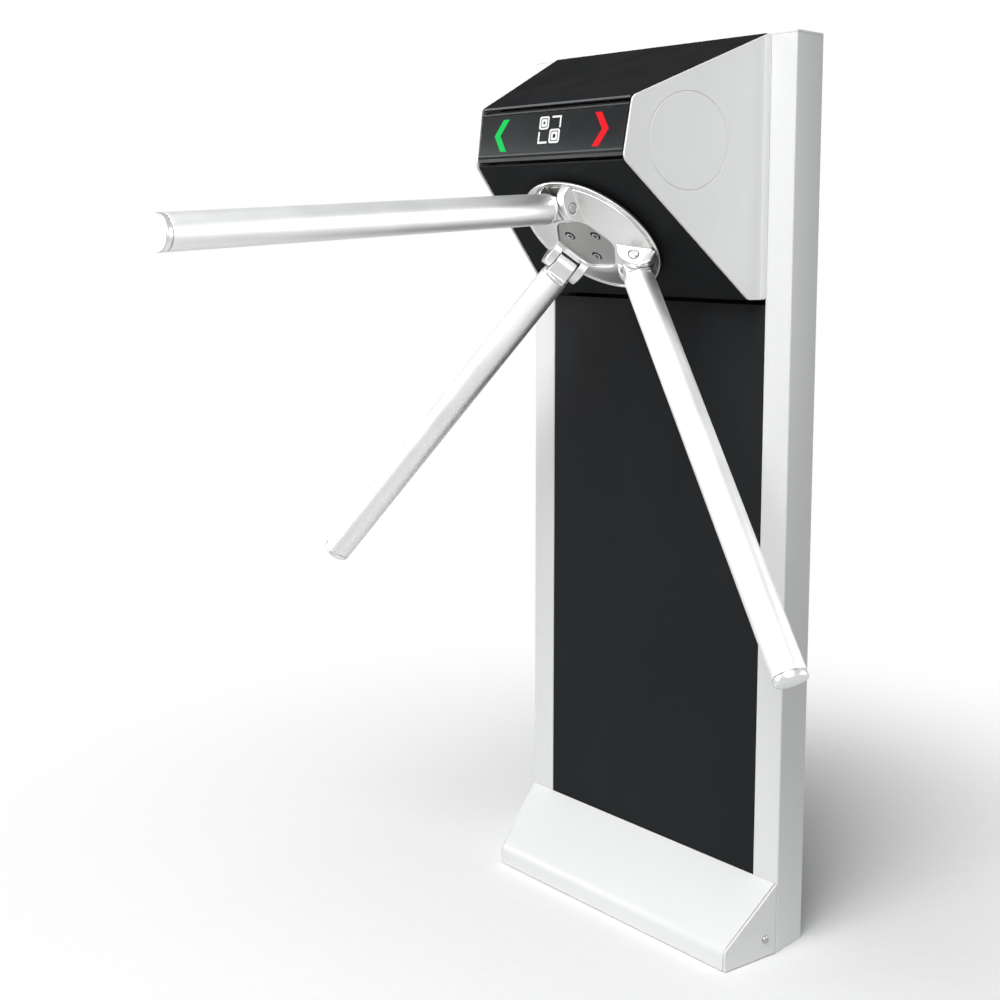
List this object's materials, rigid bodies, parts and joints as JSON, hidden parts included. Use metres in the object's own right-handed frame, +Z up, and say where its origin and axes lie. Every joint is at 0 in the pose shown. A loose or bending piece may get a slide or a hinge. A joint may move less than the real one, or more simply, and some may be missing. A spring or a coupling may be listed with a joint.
{
  "type": "visitor counter turnstile",
  "caption": "Floor-anchored counting turnstile: slim column, wedge-shaped head with lit arrows, and a slanted hub carrying drop arms.",
  "frame": {"origin": "on the floor, at the middle of the four anchor holes in the base plate", "axes": "+Z up, +X towards the right-hand post seen from the arm side, -Y towards the lane that the arms close"},
  "size_m": [0.7166, 0.7001, 1.03],
  "materials": {
    "white_coat": "satin powder coat",
    "black_coat": "satin powder coat",
    "bezel_black": "fine grain",
    "pane": "gloss",
    "green_light": "lit",
    "red_light": "lit",
    "white_print": "lit",
    "zinc_plate": "zinc plated",
    "machined_steel": "machined",
    "bearing_steel": "ground",
    "board_green": "coated board",
    "device_black": "moulded",
    "device_case": "folded sheet",
    "disc_thin": "etched",
    "screw_steel": "bright",
    "hub_metal": "turned",
    "cast_metal": "die cast, tumbled",
    "arm_steel": "satin polished",
    "cap_metal": "turned"
  },
  "bodies": {
    "column": {"left_post": "white_coat", "right_post": "white_coat", "top_cap": "white_coat", "head_side_left": "white_coat", "head_side_right": "white_coat", "foot_cover": "white_coat", "cover_end_left": "white_coat", "cover_end_right": "white_coat", "front_panel": "black_coat", "rear_panel": "black_coat", "head_top_cover": "black_coat", "head_lower_cover": "black_coat", "head_bottom_plate": "black_coat", "display_bezel": "bezel_black", "display_window": "pane", "pass_arrow": "green_light", "stop_arrow": "red_light", "reader_card": "white_print", "base_plate": "zinc_plate", "lower_rail": "zinc_plate", "head_rail": "zinc_plate", "upper_rail": "zinc_plate", "cover_brackets": "zinc_plate", "head_back_plate": "zinc_plate", "head_rib_left": "zinc_plate", "head_rib_right": "zinc_plate", "mount_plate": "zinc_plate", "damper_bridge": "zinc_plate", "bearing_housing": "machined_steel", "pawl_pins": "machined_steel", "bearings": "bearing_steel", "controller_board": "board_green", "display_board": "board_green", "reader_antennas": "board_green", "rotary_damper": "device_black", "counter_sensor": "device_black", "lock_solenoids": "device_black", "power_supply": "device_case", "cover_screws": "screw_steel"},
    "hub": {"hub_shaft": "machined_steel", "index_wheel": "machined_steel", "counting_disc": "disc_thin", "hub_disc": "hub_metal", "hub_casting": "cast_metal", "hub_screws": "screw_steel", "hinge_pins": "screw_steel"},
    "arm_1": {"arm_tongue_1": "cast_metal", "arm_tube_1": "arm_steel", "arm_cap_1": "cap_metal"},
    "arm_2": {"arm_tongue_2": "cast_metal", "arm_tube_2": "arm_steel", "arm_cap_2": "cap_metal"},
    "arm_3": {"arm_tongue_3": "cast_metal", "arm_tube_3": "arm_steel", "arm_cap_3": "cap_metal"},
    "pawl_left": {"lock_pawl_left": "machined_steel"},
    "pawl_right": {"lock_pawl_right": "machined_steel"},
    "plunger_rod_left": {"plunger_left": "machined_steel"},
    "plunger_rod_right": {"plunger_right": "machined_steel"}
  },
  "joints": [
    {"name": "hub_spin", "type": "hinge", "parent": "column", "child": "hub", "pos_m": [0, -0.08778, 0.81716], "axis": [0, -0.682, -0.7314], "continuous": true},
    {"name": "arm_1_fold", "type": "hinge", "parent": "hub", "child": "arm_1", "pos_m": [0, -0.14808, 0.84194], "axis": [1, 0, 0], "range_deg": [0, 87]},
    {"name": "arm_2_fold", "type": "hinge", "parent": "hub", "child": "arm_2", "pos_m": [-0.05283, -0.08116, 0.77954], "axis": [-0.5, -0.6334, 0.5906], "range_deg": [0, 44]},
    {"name": "arm_3_fold", "type": "hinge", "parent": "hub", "child": "arm_3", "pos_m": [0.05283, -0.08116, 0.77954], "axis": [-0.5, 0.6334, -0.5906], "range_deg": [0, 44]},
    {"name": "lock_left", "type": "hinge", "parent": "column", "child": "pawl_left", "pos_m": [-0.06624, -0.08309, 0.89073], "axis": [0, 0.682, 0.7314], "range_deg": [0, 12]},
    {"name": "plunger_left_slide", "type": "slide", "parent": "column", "child": "plunger_rod_left", "axis": [0.5, 0.6334, -0.5906], "range_m": [0, 0.006]},
    {"name": "lock_right", "type": "hinge", "parent": "column", "child": "pawl_right", "pos_m": [0.06624, -0.08309, 0.89073], "axis": [0, -0.682, -0.7314], "range_deg": [0, 12]},
    {"name": "plunger_right_slide", "type": "slide", "parent": "column", "child": "plunger_rod_right", "axis": [-0.5, 0.6334, -0.5906], "range_m": [0, 0.006]}
  ],
  "couplings": [
    {"joint": "plunger_left_slide", "follows": "lock_left", "m_per_rad": 0.028647},
    {"joint": "plunger_right_slide", "follows": "lock_right", "m_per_rad": 0.028647}
  ]
}
